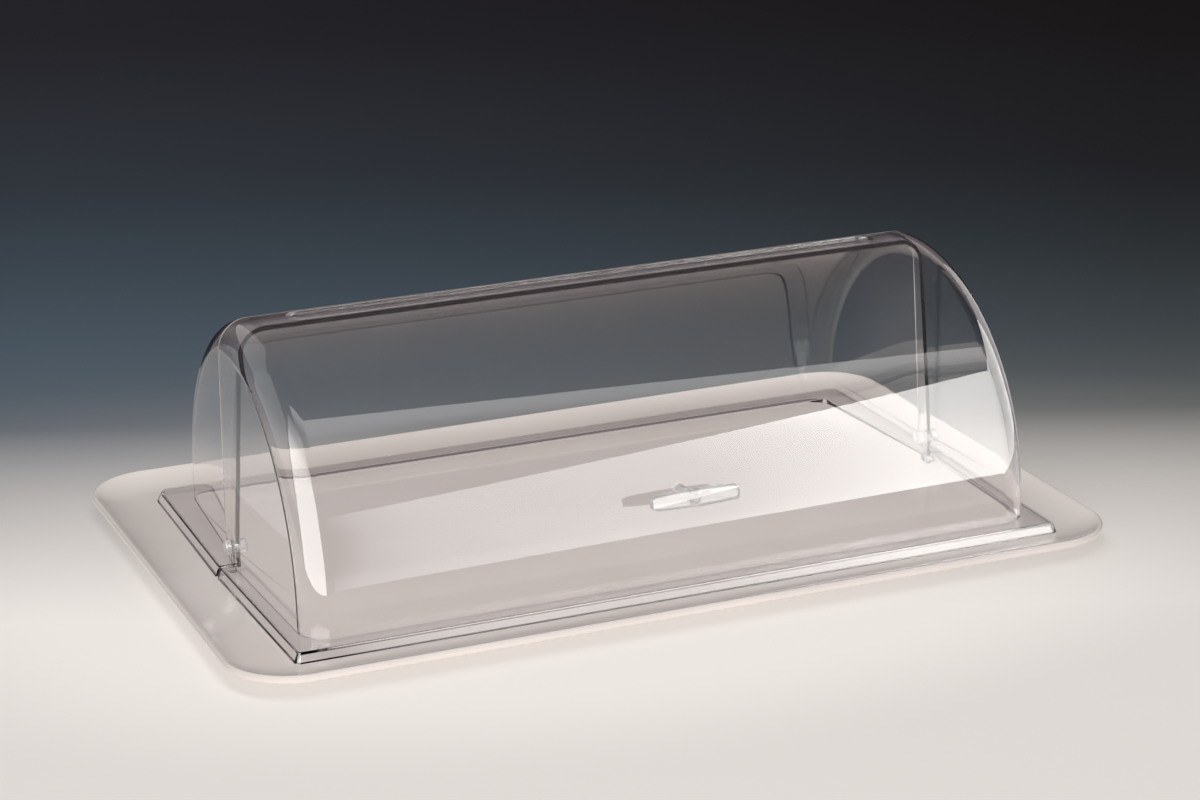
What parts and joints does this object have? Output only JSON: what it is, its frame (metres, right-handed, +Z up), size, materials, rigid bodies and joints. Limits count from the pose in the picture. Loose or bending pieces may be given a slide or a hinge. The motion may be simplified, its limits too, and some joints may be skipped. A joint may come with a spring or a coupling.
{
  "type": "roll top food display",
  "caption": "Long white tray under a clear half-round cover whose front half rolls back over the rear half by a small bar handle.",
  "frame": {"origin": "middle of the tray, on the surface that its foot ring stands on", "axes": "+X to the right along the tray's length, +Y to the rear, away from the handle, +Z up"},
  "size_m": [0.6, 0.4, 0.1735],
  "materials": {
    "tray": "white, glossy",
    "clear_shell": "clear, polished",
    "clear_fitting": "clear, polished"
  },
  "bodies": {
    "base": {"tray": "tray"},
    "rear_cover": {"rear_shell": "clear_shell", "pivot_pin_left": "clear_fitting", "pivot_pin_right": "clear_fitting", "pivot_washer_left": "clear_fitting", "pivot_washer_right": "clear_fitting", "pivot_cap_left": "clear_fitting", "pivot_cap_right": "clear_fitting"},
    "roll_front": {"front_shell": "clear_shell", "handle_grip": "clear_fitting", "handle_saddle": "clear_fitting", "handle_screw": "clear_fitting"}
  },
  "joints": [
    {"name": "cover_lift", "type": "slide", "parent": "base", "child": "rear_cover", "axis": [0, 0, 1], "range_m": [0, 0.25]},
    {"name": "roll_open", "type": "hinge", "parent": "rear_cover", "child": "roll_front", "pos_m": [0.004, -0.006, 0.026], "axis": [-1, 0, 0], "range_deg": [0, 67]}
  ]
}
